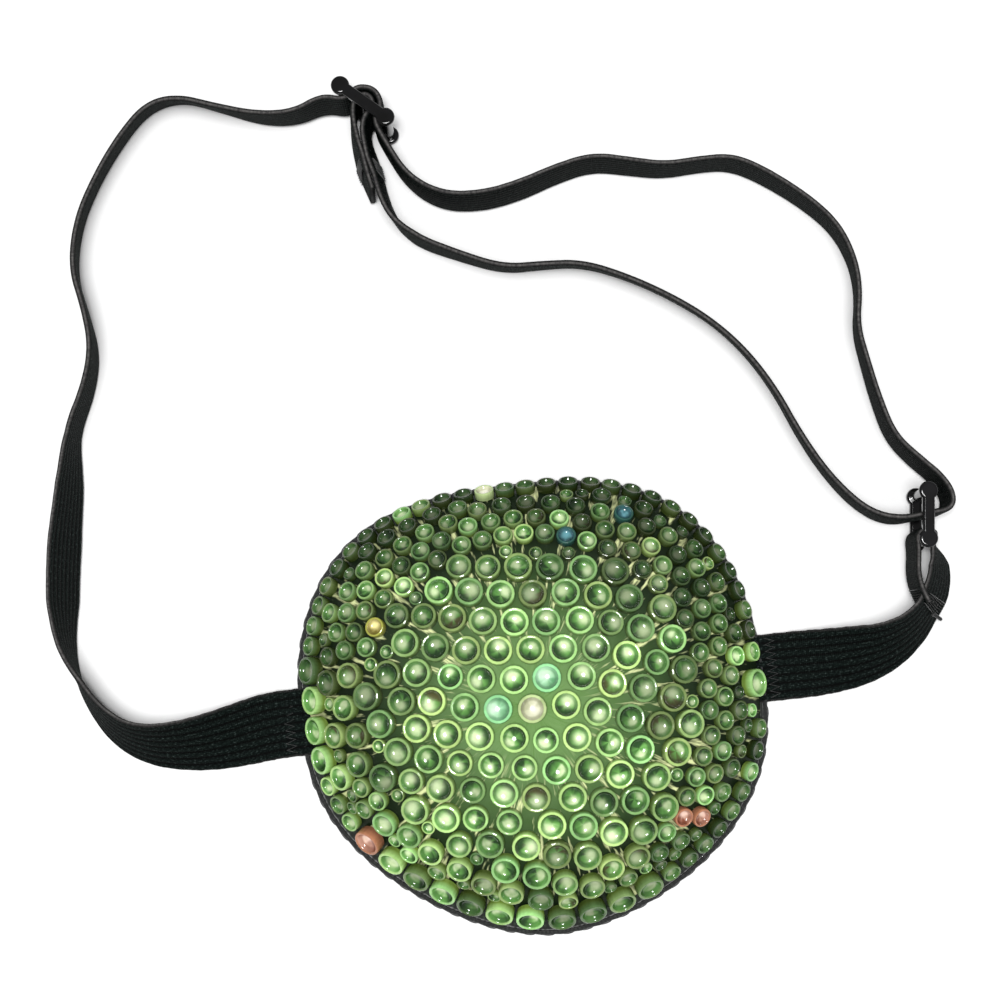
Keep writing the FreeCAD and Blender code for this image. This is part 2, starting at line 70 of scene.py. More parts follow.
COVER_THICK = 0.45
SHELL_THICK = 1.8
LINING_THICK = 0.5
LAYER_GAP = 0.03
GLUE_THICK = 0.15
BINDING_THICK = 0.5
BINDING_WALL = 1.5
BINDING_SOLE_IN = 3.3
BINDING_PUCKER = 0.05      # between one stitch and the next
BINDING_STEPS = 480

STRAP_WIDTH = 10.0
STRAP_THICK = 0.9
STRAP_Y = 2.0
RIBS = 8
RIB_STEPS = 4              # section points for each rib
RIB_LOW = 0.66             # shares of the elastic's half thickness
RIB_RISE = 0.32
SELVEDGE_HALF = 0.52
SELVEDGE_OUT = 1.02        # share of the elastic's half width
LONG_SIDE = -1.0           # which side of its run the strap's upper edge lies on when flat
SHORT_SIDE = 1.0
ROOT_Z = RIM_Z + 0.05      # heights of the elastic's lower edge
FLOOR_EDGE_Z = 0.5
HELD_EDGE_Z = 1.4
HELD_REACH = 12.0          # distance from the hardware over which the lower edge is held up
DROP_REACH = 16.0          # further distance over which it comes down
WIRE_R = 0.8
WIRE_GAP = 0.15            # between the hardware's bars and the elastic
FOLD_GAP = 0.2             # between two layers of elastic on one bar
SLIDER_LEAD = 4            # control points of the left run that follow the slider
MARK_WINDOW = 60           # line points ahead in which a control point's own mark is looked for
SLIDER_CENTRE = (-14.75, 93.4)
SLIDER_ANGLE = -42.1
RING_NEAR = (61.0, 18.2)

STITCH_COUNT = 72          # round the whole binding, on its wall and on its sole
WALL_STITCH_SPAN = 3.4     # degrees round the patch
SOLE_STITCH_SPAN = 3.0
WALL_THREAD_R = 0.13
SOLE_THREAD_R = 0.12
ROOT_THREAD_R = 0.14
BARTACK_THREAD_R = 0.15
STITCH_KEEP_OFF = 1.5      # from the elastic's edges
BARTACK_TURNS = 6
BARTACK_REACH = 4.1
BARTACK_LENGTH = 2.2
BARTACK_START = 0.25
BARTACK_LIFT = 0.13        # of its thread's middle off the elastic
ROOT_ZIGZAG_POINTS = 19
ROOT_ZIGZAG_STEP = 0.5
ROOT_ZIGZAG_WIDTH = 1.5
ROOT_ZIGZAG_X = 36.1
THREAD_END_START = (61.2, 7.0, 5.4)
THREAD_END_RUN = (1.5, -0.7, -0.7)
THREAD_END_WAVE = 0.15
THREAD_END_POINTS = 10
THREAD_END_R = 0.30

CAMERA_SPOT = (-0.15, 0.9, 360.0)
CAMERA_AIM = (-2.1, 32.4, 0.0)
CAMERA_TURN = -6.6
LENS = 84.9

# Routes of the elastic in plan: x, y, turn from flat in degrees. At 90 it stands on its edge, and
# over 90 it leans the other way.
TWIST_LEFT = [
    (-29.0, 2.0, 0.0),
    (-34.5, 2.0, 0.0),
    (-39.3, 2.0, 6.0),
    (-44.0, 1.2, 20.0),
    (-48.5, 0.6, 32.0),
    (-53.0, 0.5, 43.0),
    (-57.5, 1.1, 54.0),
    (-61.5, 3.0, 64.0),
    (-64.6, 6.4, 72.0),
]
LEFT_RUN = [
    (-67.0, 11.0, 79.0),
    (-68.8, 17.0, 93.0),
    (-68.6, 24.0, 106.0),
    (-67.4, 33.0, 107.0),
    (-65.6, 42.0, 101.0),
    (-64.6, 49.5, 90.0),
    (-61.4, 55.8, 88.0),
    (-59.9, 61.6, 86.0),
    (-60.6, 67.5, 84.0),
    (-62.0, 74.0, 83.0),
    (-60.4, 81.5, 82.0),
    (-56.8, 88.0, 81.0),
    (-52.8, 93.4, 81.0),
    (-48.2, 98.1, 80.0),
    (-43.0, 99.1, 79.0),
    (-37.0, 96.6, 81.0),
    (-31.0, 94.2, 85.0),
    (-25.5, 93.6, 87.0),
]
UPPER_BAND = [
    (-9.5, 81.7, 90.0),
    (-4.6, 78.1, 92.0),
    (1.6, 77.5, 93.0),
    (7.5, 78.6, 93.0),
    (13.0, 80.4, 92.0),
    (18.8, 81.6, 91.0),
    (24.5, 80.2, 90.0),
    (29.5, 79.0, 89.0),
    (35.0, 79.3, 88.5),
    (39.8, 79.1, 88.5),
    (44.5, 76.4, 88.0),
    (50.4, 71.6, 87.0),
    (54.4, 67.0, 86.0),
    (56.3, 61.6, 85.0),
    (56.5, 56.6, 85.0),
    (55.4, 51.4, 85.0),
    (56.1, 46.2, 86.0),
    (57.0, 40.2, 87.0),
    (58.4, 34.2, 88.0),
]
RING_FOLD = [
    (61.6, 30.2, 90.0),
    (64.4, 27.3, 90.0),
    (65.8, 24.4, 90.0),
    (65.2, 22.2, 90.0),
    (61.6, 22.0, 90.0),
]
LOWER_BAND = [
    (57.0, 21.6, 90.0),
    (52.6, 23.9, 93.0),
    (48.3, 29.4, 95.0),
    (44.9, 36.1, 96.0),
    (42.2, 43.2, 97.0),
    (38.6, 49.6, 98.0),
    (34.0, 55.0, 99.0),
    (28.4, 59.4, 99.0),
    (22.0, 63.3, 99.0),
    (15.4, 66.2, 98.0),
    (9.4, 66.6, 97.0),
    (3.4, 66.7, 96.0),
    (-3.4, 69.7, 94.0),
    (-9.6, 72.8, 92.0),
    (-13.3, 77.4, 95.0),
]
TWIST_RIGHT = [
    (29.0, 2.0, 0.0),
    (34.5, 2.0, 0.0),
    (39.3, 2.0, 0.0),
    (44.0, 1.9, 12.0),
    (49.0, 2.1, 26.0),
    (53.5, 2.8, 42.0),
    (57.6, 4.8, 56.0),
    (60.4, 7.6, 64.0),
]


# --- Shapes of the patch --------------------------------------------------------------------
def outline_radius(angle):
    """Distance from the patch's middle to its outline, in mm."""
    c = abs(math.cos(math.radians(angle)))
    s = abs(math.sin(math.radians(angle)))
    power = SQUARENESS + SQUARENESS_RISE * math.sin(math.radians(angle))
    radius = ((c / HALF_WIDTH) ** power + (s / HALF_HEIGHT) ** power) ** (-1.0 / power)
    away = ((angle - LOW_LEFT_ANGLE + 180.0) % 360.0 - 180.0) / LOW_LEFT_SPREAD
    return radius - LOW_LEFT_FLAT * math.exp(-away * away)


def dome_point(level, angle, grow):
    """Point of the dome in mm, from level 0 at the top to 1 at the rim."""
    share = max(0.0, 1.0 - level ** PROFILE_ROUND) ** (1.0 / PROFILE_FULL)
    u = share / BRIM_LEVEL
    brim = 0.5 + 0.5 * math.cos(math.radians(angle - BRIM_ANGLE))
    reach = level * (1.0 - BRIM_DEPTH * brim * u * math.exp(1.0 - u))
    radius = reach * (outline_radius(angle) + grow)
    a = math.radians(angle)
    height = RIM_Z + share * (DOME_HEIGHT + grow)
    return Vector((radius * math.cos(a), radius * math.sin(a), height))


def outline_point(angle, grow, z):
    """Point at this height on the outline made bigger by grow."""
    radius = outline_radius(angle) + grow
    a = math.radians(angle)
    return Vector((radius * math.cos(a), radius * math.sin(a), z))


# --- Mesh helpers ---------------------------------------------------------------------------
def plan(point):
    """The point's place in plan."""
    return Vector((point[0], point[1], 0.0))


def mesh_object(name, points, faces):
    """Object from points in mm and faces of their numbers."""
    mesh = bpy.data.meshes.new(name)
    mesh.from_pydata([tuple(c * MM for c in p) for p in points], [], faces)
    mesh.update()
    mesh.shade_smooth()
    obj = bpy.data.objects.new(name, mesh)
    bpy.context.scene.collection.objects.link(obj)
    return obj


def outward(obj):
    """Turns every face of a closed mesh outwards."""
    bm = bmesh.new()
    bm.from_mesh(obj.data)
    bmesh.ops.recalc_face_normals(bm, faces=bm.faces)
    bm.to_mesh(obj.data)
    bm.free()


THREAD_UP = Vector((0.31, 0.22, 0.92))     # a direction that no thread runs along
THREAD_TAPER = 0.55        # of its radius, at its ends


def tube(points, radius, sides=8):
    """Points and faces of a round thread along points in mm, with tapered closed ends."""
    out_points = []
    faces = []
    count = len(points)
    for i, p in enumerate(points):
        ahead = points[min(i + 1, count - 1)]
        behind = points[max(i - 1, 0)]
        along = (ahead - behind).normalized()
        side = along.cross(THREAD_UP).normalized()
        other = side.cross(along)
        r = radius * (THREAD_TAPER if i in (0, count - 1) else 1.0)
        for k in range(sides):
            a = 2 * math.pi * k / sides
            out_points.append(p + side * (r * math.cos(a)) + other * (r * math.sin(a)))
        if i:
            base = (i - 1) * sides
            for k in range(sides):
                n = (k + 1) % sides
                faces.append((base + k, base + n, base + sides + n, base + sides + k))
    faces.append(tuple(range(sides - 1, -1, -1)))
    faces.append(tuple((count - 1) * sides + k for k in range(sides)))
    return out_points, faces


def joined(parts):
    """Several (points, faces) as one."""
    points = []
    faces = []
    for some_points, some_faces in parts:
        base = len(points)
        points += some_points
        faces += [tuple(base + i for i in face) for face in some_faces]
    return points, faces


# --- Materials ------------------------------------------------------------------------------
BLACK = (0.0, 0.0, 0.0)
WHITE = (1.0, 1.0, 1.0)
GLUE_DARK_RADIUS = 0.025   # metres from the middle, where the painted light on the glue has fallen off to its darkest


class Shader:
    """A material's node tree, built up from its Principled shader."""

    def __init__(self, name, roughness):
        self.material = bpy.data.materials.new(name)
        self.material.use_nodes = True
        self.nodes = self.material.node_tree.nodes
        self.links = self.material.node_tree.links
        self.main = self.nodes["Principled BSDF"]
        self.main.inputs["Roughness"].default_value = roughness

    def node(self, kind, **settings):
        made = self.nodes.new("ShaderNode" + kind)
        for name, value in settings.items():
            if hasattr(made, name):
                setattr(made, name, value)
            else:
                made.inputs[name.replace("_", " ")].default_value = value
        return made

    def link(self, start, end):
        self.links.new(start, end)

    def noise(self, scale, detail=3.0, vector=None, roughness=0.5):
        made = self.node("TexNoise", Scale=scale, Detail=detail, Roughness=roughness)
        if vector is None:
            vector = self.node("TexCoord").outputs["Object"]
        self.link(vector, made.inputs["Vector"])
        return made.outputs["Fac"]

    def scaled(self, vector, scale):
        made = self.node("Mapping")
        made.inputs["Scale"].default_value = scale
        self.link(vector, made.inputs["Vector"])
        return made.outputs["Vector"]

    def ramp(self, value, stops):
        """Colour ramp of (place, colour) stops."""
        made = self.node("ValToRGB")
        band = made.color_ramp
        while len(band.elements) < len(stops):
            band.elements.new(0.5)
        for element, (place, colour) in zip(band.elements, stops):
            element.position = place
            element.color = (*colour, 1.0)
        self.link(value, made.inputs["Fac"])
        return made.outputs["Color"]

    def mixed(self, share, first, second, blend="MIX"):
        """Mix of two colours; each is a socket or three numbers."""
        made = self.node("MixRGB", blend_type=blend)
        for socket, value in (("Fac", share), ("Color1", first), ("Color2", second)):
            if isinstance(value, bpy.types.NodeSocket):
                self.link(value, made.inputs[socket])
            elif socket == "Fac":
                made.inputs[socket].default_value = value
            else:
                made.inputs[socket].default_value = (*value, 1.0)
        return made.outputs["Color"]

    def maths(self, operation, first, second=None):
        made = self.node("Math", operation=operation)
        for i, value in enumerate((first, second)):
            if isinstance(value, bpy.types.NodeSocket):
                self.link(value, made.inputs[i])
            elif value is not None:
                made.inputs[i].default_value = value
        return made.outputs["Value"]

    def colour(self, socket):
        self.link(socket, self.main.inputs["Base Color"])

    def bump(self, height, strength, distance):
        made = self.node("Bump", Strength=strength, Distance=distance)
        self.link(height, made.inputs["Height"])
        self.link(made.outputs["Normal"], self.main.inputs["Normal"])


def elastic_material():
    """Black ribbed elastic: painted shade in the grooves, crosswise weft, pale flecks on the ribs, and a
    flecked greyish painted highlight along the selvedge.
    """
    s = Shader("elastic", 0.7)
    s.main.inputs["Specular IOR Level"].default_value = 0.05
    uv = s.node("UVMap").outputs["UV"]
    weft = s.node("TexWave", bands_direction="X", Scale=1.05, Distortion=0.6, Detail=1.0)
    s.link(uv, weft.inputs["Vector"])
    speckle = s.noise(2.2, 2.0, s.scaled(uv, (1.0, 2.0, 1.0)), 0.6)
    flecks = s.ramp(speckle, [
        (0.44, (0.002, 0.004, 0.0035)),
        (0.60, (0.008, 0.014, 0.012)),
        (0.78, (0.07, 0.09, 0.085)),
    ])
    # Painted shade: the grooves between the ribs are darkened to near black, and only the rib tops show
    # the flecks.
    rib = s.node("Attribute", attribute_name="rib").outputs["Fac"]
    ribbed = s.mixed(rib, (0.001, 0.001, 0.001), flecks)
    # Painted highlight: a flecked greyish line along the selvedge, where the edge faces the light.
    edge = s.node("Attribute", attribute_name="edge").outputs["Fac"]
    painted_edge_highlight = s.ramp(speckle, [(0.30, (0.05, 0.048, 0.05)), (0.72, (0.15, 0.145, 0.14))])
    s.colour(s.mixed(edge, ribbed, painted_edge_highlight))
    s.bump(s.maths("ADD", weft.outputs["Fac"], speckle), 0.5, 0.00012)
    return s.material


def thread_material(name, colour):
    """Twisted thread: fine slanting stripes."""
    s = Shader(name, 0.55)
    s.main.inputs["Sheen Weight"].default_value = 0.2
    twist = s.node("TexWave", bands_direction="DIAGONAL", Scale=900.0, Distortion=0.5)
    s.link(s.node("TexCoord").outputs["Object"], twist.inputs["Vector"])
    dark = tuple(0.4 * c for c in colour)
    s.colour(s.ramp(twist.outputs["Fac"], [(0.2, dark), (0.8, colour)]))
    s.bump(twist.outputs["Fac"], 0.6, 0.0001)
    return s.material


def cloth_material(name, dark, light, scale):
    """Plain weave: two crossed thread waves with uneven colour."""
    s = Shader(name, 0.8)
    s.main.inputs["Sheen Weight"].default_value = 0.3
    where = s.node("TexCoord").outputs["Object"]
    warp = s.node("TexWave", bands_direction="X", Scale=scale, Distortion=0.4)
    weft = s.node("TexWave", bands_direction="Y", Scale=scale, Distortion=0.4)
    s.link(where, warp.inputs["Vector"])
    s.link(where, weft.inputs["Vector"])
    weave = s.maths("MULTIPLY", warp.outputs["Fac"], weft.outputs["Fac"])
    patch = s.noise(160.0, 3.0, where)
    s.colour(s.mixed(s.maths("MULTIPLY", weave, patch), dark, light))
    s.bump(weave, 0.45, 0.00015)
    return s.material


def felt_material(name, dark, light):
    """Brushed cloth: short fibres and soft blotches."""
    s = Shader(name, 0.95)
    s.main.inputs["Sheen Weight"].default_value = 0.5
    s.main.inputs["Sheen Roughness"].default_value = 0.5
    fibres = s.noise(2600.0, 4.0, None, 0.7)
    blotches = s.noise(120.0, 2.0)
    share = s.maths("MULTIPLY", fibres, blotches)
    s.colour(s.ramp(share, [(0.12, dark), (0.42, light)]))
    s.bump(fibres, 0.5, 0.0002)
    return s.material


def hardware_material():
    """Moulded black nylon with a gloss finish and faint flow marks."""
    s = Shader("black_nylon", 0.10)
    s.main.inputs["Specular IOR Level"].default_value = 0.32
    marks = s.noise(260.0, 2.0)
    s.colour(s.ramp(marks, [(0.3, (0.003, 0.003, 0.003)), (0.7, (0.008, 0.008, 0.009))]))
    s.bump(marks, 0.12, 0.0001)
    return s.material


def glue_material():
    """Set glue between the stones with painted light: green in the middle, shaded dark outside, with pale
    streaks of painted reflection downhill.
    """
    s = Shader("glue", 0.5)
    s.main.inputs["Specular IOR Level"].default_value = 0.25
    parts = s.node("SeparateXYZ")
    s.link(s.node("TexCoord").outputs["Object"], parts.inputs["Vector"])
    x, y = parts.outputs["X"], parts.outputs["Y"]
    angle = s.maths("ARCTAN2", y, x)
    square = s.maths("ADD", s.maths("MULTIPLY", x, x), s.maths("MULTIPLY", y, y))
    radius = s.maths("SQRT", square)
    polar = s.node("CombineXYZ", Z=0.0)
    s.link(s.maths("MULTIPLY", angle, 20.0), polar.inputs["X"])
    s.link(s.maths("MULTIPLY", radius, 170.0), polar.inputs["Y"])
    streak = s.noise(1.0, 3.0, polar.outputs["Vector"], 0.6)
    # Painted light falloff: the glue is lit green in the middle and shaded dark further out.
    share = s.maths("MULTIPLY", radius, 1.0 / GLUE_DARK_RADIUS)
    ground = s.ramp(share, [
        (0.20, (0.14, 0.28, 0.07)),
        (0.60, (0.06, 0.13, 0.03)),
        (0.85, (0.018, 0.042, 0.010)),
        (1.00, (0.006, 0.014, 0.004)),
    ])
    # Painted reflections: pale radial streaks between the outer stones, as from the stones' sides.
    pale = s.ramp(streak, [(0.55, BLACK), (0.66, WHITE)])
    outside = s.ramp(share, [(0.30, BLACK), (0.55, WHITE)])
    s.colour(s.mixed(s.maths("MULTIPLY", pale, outside), ground, (0.78, 0.84, 0.42)))
    s.bump(streak, 0.4, 0.0003)
    return s.material


def stone_material():
    """Coloured glass: each stone's tones, which carry painted light, painted shade and painted glints,
    over a clear gloss, with faint colour clouds.
    """
    s = Shader("stone_green", 0.13)
    s.main.inputs["IOR"].default_value = 1.55
    # The tone attribute holds each stone's colours with the painted light, shade and highlights baked in.
    tone = s.node("Attribute", attribute_name="tone").outputs["Color"]
    cloud = s.noise(900.0, 2.0)
    shade = s.ramp(cloud, [(0.35, (0.84, 0.86, 0.80)), (0.65, WHITE)])
    s.colour(s.mixed(1.0, tone, shade, "MULTIPLY"))
    return s.material


ELASTIC = elastic_material()
THREAD = thread_material("thread", (0.016, 0.017, 0.017))
BINDING_CLOTH = cloth_material("binding_fabric", (0.006, 0.007, 0.007), (0.045, 0.048, 0.047), 520.0)
COVER_CLOTH = cloth_material("cover_fabric", (0.006, 0.009, 0.006), (0.04, 0.06, 0.04), 420.0)
LINING_CLOTH = felt_material("lining_fabric", (0.012, 0.012, 0.014), (0.075, 0.075, 0.08))
SHELL_FELT = felt_material("shell_felt", (0.01, 0.01, 0.011), (0.05, 0.05, 0.052))
NYLON = hardware_material()
GLUE = glue_material()
STONE = stone_material()


def dress(obj, material, slot, body, *nodes):
    """Gives a finished piece its material and body, and hides the CAD nodes it stands for; its slot is
    not used.
    """
    obj.data.materials.clear()
    obj.data.materials.append(material)
    if body:
        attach(obj, body)
    if nodes:
        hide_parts(*nodes)
    return obj


def dress_node(name, material):
    """Gives a CAD piece that stays as it is its material."""
    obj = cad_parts[name]
    for i in range(len(obj.material_slots)):
        obj.material_slots[i].material = material
    if not obj.material_slots:
        obj.data.materials.append(material)


# --- Elastic --------------------------------------------------------------------------------
def slider_point(p, q, turn=90.0):
    """Control point at p along the slider's rails and q across them."""
    a = math.radians(SLIDER_ANGLE)
    x = SLIDER_CENTRE[0] + p * math.cos(a) - q * math.sin(a)
    y = SLIDER_CENTRE[1] + p * math.sin(a) + q * math.cos(a)
    return (x, y, turn)


def half_turn(r):
    """Distances past a bar's middle of the control points of a half turn: beside it and at its top."""
    a = math.radians(30)
    return r * math.tan(a), r / math.cos(a)


def slider_route():
    """The long strap over the slider's centre bar, in at one slot and out at the other."""
    r = WIRE_R + WIRE_GAP + STRAP_THICK + FOLD_GAP + STRAP_THICK / 2
    corner, top = half_turn(r)
    return [
        slider_point(-5.9, -2.7),
        slider_point(-r, -1.2),
        slider_point(-r, corner),
        slider_point(0, top),
        slider_point(r, corner),
        slider_point(r, -1.0),
        slider_point(5.6, -2.6),
    ]


def loop_route():
    """The strap's sewn end round the slider's centre bar, from the tail to the throat."""
    r = WIRE_R + WIRE_GAP + STRAP_THICK / 2
    corner, top = half_turn(r)
    return [
        slider_point(8.6, -10.0, 87.0),
        slider_point(3.8, -6.9, 83.0),
        slider_point(-r, -1.8, 87.0),
        slider_point(-r, corner),
        slider_point(0, top),
        slider_point(r, corner),
        slider_point(r, -2.5, 88.0),
        slider_point(5.7, -5.9, 83.0),
        slider_point(8.0, -7.6, 85.0),
    ]


def short_loop_route():
    """The short strap on edge, round the ring's near bar and back to its bartack."""
    x, y = RING_NEAR
    r = WIRE_R + WIRE_GAP + STRAP_THICK / 2
    corner, top = half_turn(r)
    return [
        (62.4, 10.6, 62.0),
        (63.3, 14.2, 66.0),
        (x + r, y - 0.6, 82.0),
        (x + r, y + corner, 90.0),
        (x, y + top, 90.0),
        (x - r, y + corner, 90.0),
        (x - r, y - 1.4, 90.0),
        (59.0, 13.4, 90.0),
        (59.4, 10.6, 90.0),
        (60.1, 8.9, 90.0),
    ]


def low_edge(x, y):
    """Height of the elastic's lower edge: on the patch's sole, near the floor or held by the hardware."""
    if abs(x) < HALF_WIDTH + 5.0 and y < STRAP_Y + 8.0:
        return ROOT_Z
    near_slider = math.hypot(x - SLIDER_CENTRE[0], y - SLIDER_CENTRE[1])
    near_ring = math.hypot(x - RING_NEAR[0], y - RING_NEAR[1])
    near = min(near_slider, near_ring)
    share = min(1.0, max(0.0, (near - HELD_REACH) / DROP_REACH))
    return HELD_EDGE_Z + (FLOOR_EDGE_Z - HELD_EDGE_Z) * share


def control_points(stations):
    """Middle of the elastic's width at each station, in mm."""
    points = []
    for x, y, turn in stations:
        a = math.radians(turn)
        rise = STRAP_THICK / 2 * abs(math.cos(a)) + STRAP_WIDTH / 2 * abs(math.sin(a))
        points.append(Vector((x, y, low_edge(x, y) + rise)))
    return points


def spline_line(points, steps):
    """Points of the smooth NURBS line that these control points steer, in mm."""
    curve = bpy.data.curves.new("route", "CURVE")
    curve.dimensions = "3D"
    curve.resolution_u = steps
    spline = curve.splines.new("NURBS")
    spline.points.add(len(points) - 1)
    for point, place in zip(spline.points, points):
        point.co = (*place, 1.0)
    spline.order_u = 3
    spline.use_endpoint_u = True
    carrier = bpy.data.objects.new("route", curve)
    mesh = bpy.data.meshes.new_from_object(carrier)
    line = [vertex.co.copy() for vertex in mesh.vertices]
    bpy.data.meshes.remove(mesh)
    bpy.data.objects.remove(carrier)
    bpy.data.curves.remove(curve)
    return line


class Strap:
    """A strap's smooth middle line with its turn and length at each point."""

    def __init__(self, stations, side, steps=8):
        controls = control_points(stations)
        self.line = spline_line(controls, steps)
        self.side = side
        self.length = [0.0]
        for a, b in zip(self.line, self.line[1:]):
            self.length.append(self.length[-1] + (b - a).length)
        self.marks = []
        start = 0
        for point in controls:
            rest = self.line[start:]
            nearest = min(range(len(rest)), key=lambda i: (rest[i] - point).length)
            start += nearest if nearest < MARK_WINDOW else 0
            self.marks.append(start)
        spots = [self.length[i] for i in self.marks]
        self.turn = np.interp(self.length, spots, [s[2] for s in stations])

    def at(self, length):
        """Place, direction in plan and turn at a length along the strap."""
        middle = Vector([np.interp(length, self.length, [p[axis] for p in self.line])
                         for axis in range(3)])
        nearest = min(range(len(self.line)), key=lambda i: abs(self.length[i] - length))
        i = max(1, min(nearest, len(self.line) - 2))
        along = plan(self.line[i + 1] - self.line[i - 1]).normalized()
        return middle, along, np.interp(length, self.length, self.turn)

    def piece(self, name, first, last):
        """Ribbon between two control points, by number."""
        low = self.marks[first]
        high = self.marks[last] + 1
        line = self.line[low:high]
        obj = ribbon(name, line, self.turn[low:high], self.length[low:high], self.side)
        return obj, [p * MM for p in line], (self.length[high - 1] - self.length[low]) * MM


def ribbon_profile():
    """Outline of the elastic's section: across and thickness shares, rib height, share of the painted
    selvedge highlight.
    """
    rows = []
    steps = RIBS * RIB_STEPS
    for face in (1, -1):
        for k in range(steps + 1):
            u = -1.0 + 2.0 * k / steps
            rib = abs(math.sin(math.pi * RIBS * (u + 1) / 2)) ** 0.7
            at_edge = k in (0, steps)
            half = SELVEDGE_HALF if at_edge else RIB_LOW + RIB_RISE * rib
            # The last number is how much painted highlight a point gets: some at the selvedge's corners,
            # full on its rounded middle.
            rows.append((u * face, half * face, rib, 0.25 if at_edge else 0.0))
        rows.append((SELVEDGE_OUT * face, 0.0, 0.0, 1.0))
    return rows


def strap_axes(direction, turn, side):
    """Directions across and through the elastic where it runs that way in plan, turned from flat."""
    across = Vector((-direction.y, direction.x, 0.0)) * side
    a = math.radians(turn)
    wide = across * math.cos(a) + Vector((0.0, 0.0, 1.0)) * math.sin(a)
    return wide, direction.cross(wide).normalized()


def ribbon(name, line, turns, lengths, side):
    """Ribbed elastic along a line in mm, turned from flat by its angle at each point."""
    profile = ribbon_profile()
    wide_half = STRAP_WIDTH / 2
    points = []
    faces = []
    edge = []
    ribs = []
    places = []
    count = len(line)
    n = len(profile)
    for i, middle in enumerate(line):
        along = line[min(i + 1, count - 1)] - line[max(i - 1, 0)]
        wide, thin = strap_axes(plan(along).normalized(), turns[i], side)
        # The woven width is a little uneven along its length.
        ripple = 1.0 + 0.006 * math.sin(lengths[i] * 2.3) + 0.004 * math.sin(lengths[i] * 5.1)
        for u, half, rib, at_edge in profile:
            out = thin * (half * STRAP_THICK / 2)
            points.append(middle + wide * (u * wide_half * ripple) + out)
            edge.append(at_edge)
            ribs.append(rib)
            places.append((lengths[i], u * wide_half))
        if i:
            base = (i - 1) * n
            for k in range(n):
                j = (k + 1) % n
                faces.append((base + k, base + j, base + n + j, base + n + k))
    faces.append(tuple(range(n - 1, -1, -1)))
    faces.append(tuple((count - 1) * n + k for k in range(n)))
    obj = mesh_object(name, points, faces)
    outward(obj)
    # The edge attribute carries the painted selvedge highlight; the rib attribute is the rib height,
    # which the material also uses for painted shade in the grooves.
    for kind, values in (("edge", edge), ("rib", ribs)):
        mark = obj.data.attributes.new(kind, "FLOAT", "POINT")
        mark.data.foreach_set("value", values)
    uv = obj.data.uv_layers.new(name="UVMap")
    for loop in obj.data.loops:
        uv.data[loop.index].uv = places[loop.vertex_index]
    return obj


def make_long_strap():
    """The long elastic in four pieces: its twist, the left run, over the slider and both bands."""
    crossing_route = slider_route()
    stations = TWIST_LEFT + LEFT_RUN + crossing_route + UPPER_BAND + RING_FOLD + LOWER_BAND
    x, y, turn = loop_route()[-1]
    strap = Strap(stations + [(x, y, 180.0 - turn)], LONG_SIDE)
    twist_end = len(TWIST_LEFT) - 1
    left_end = len(TWIST_LEFT) + len(LEFT_RUN)
    run_end = left_end - SLIDER_LEAD
    crossing_end = left_end + len(crossing_route)
    last = len(stations)

    root, _, _ = strap.piece("strap_left_root", 0, twist_end)
    dress(root, ELASTIC, "elastic", None, "strap_root_left")
    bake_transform(root)

    run, path, length = strap.piece("strap_left_run", twist_end, run_end)
    dress(run, ELASTIC, "elastic", "strap", "long_strap")

    crossing, _, _ = strap.piece("strap_at_slider", run_end, crossing_end)
    dress(crossing, ELASTIC, "elastic", None)
    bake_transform(crossing)

    band, path, length = strap.piece("strap_bands", crossing_end, last)
    dress(band, ELASTIC, "elastic", None, "long_strap")
    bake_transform(band)
    return band, path, length


def make_short_strap():
    """The short elastic: from the patch, round the ring's near bar and back onto itself."""
    strap = Strap(TWIST_RIGHT + short_loop_route(), SHORT_SIDE)
    obj, _, _ = strap.piece("strap_short", 0, len(strap.marks) - 1)
    dress(obj, ELASTIC, "elastic", None, "short_strap", "strap_root_right")
    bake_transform(obj)
    return obj, strap


def make_end_loop():
    """The long elastic's end, sewn round the slider's centre bar."""
    strap = Strap(loop_route(), LONG_SIDE, 10)
    obj, _, _ = strap.piece("strap_sewn_loop", 0, len(strap.marks) - 1)
    dress(obj, ELASTIC, "elastic", "slider", "strap_end_loop")
    return obj, strap


# --- Camera, floor and lights ---------------------------------------------------------------
def make_camera():
    """The photo's view, from straight above."""
    data = bpy.data.cameras.new("camera")
    data.lens = LENS
    data.clip_start = 0.01
    data.clip_end = 10.0
    camera = bpy.data.objects.new("camera", data)
    camera.location = Vector(CAMERA_SPOT) * MM
    turn = math.radians(CAMERA_TURN)
    back = (Vector(CAMERA_SPOT) - Vector(CAMERA_AIM)).normalized()
    right = Vector((-math.sin(turn), math.cos(turn), 0.0)).cross(back).normalized()
    camera.rotation_euler = Matrix((right, back.cross(right), back)).transposed().to_euler()
    bpy.context.scene.collection.objects.link(camera)
    bpy.context.scene.camera = camera


LAMPS = (
    # name, place in metres, disc's size in metres, watts
    ("overhead", (-0.03, -0.05, 1.2), 0.36, 12.0),
    ("glint", (-0.02, 0.02, 0.45), 0.03, 0.35),
)
LAMP_AIM = (0.0, 0.03, 0.0)
WORLD_STRENGTH = 0.30
FLOOR_REACH = 900.0
FLOOR_Z = -0.15


def area_light(name, place, size, power):
    """Round lamp aimed at the middle of the scene."""
    data = bpy.data.lights.new(name, "AREA")
    data.shape = "DISK"
    data.size = size
    data.energy = power
    lamp = bpy.data.objects.new(name, data)
    lamp.location = place
    aim = Vector(LAMP_AIM) - Vector(place)
    lamp.rotation_euler = aim.to_track_quat("-Z", "Y").to_euler()
    bpy.context.scene.collection.objects.link(lamp)


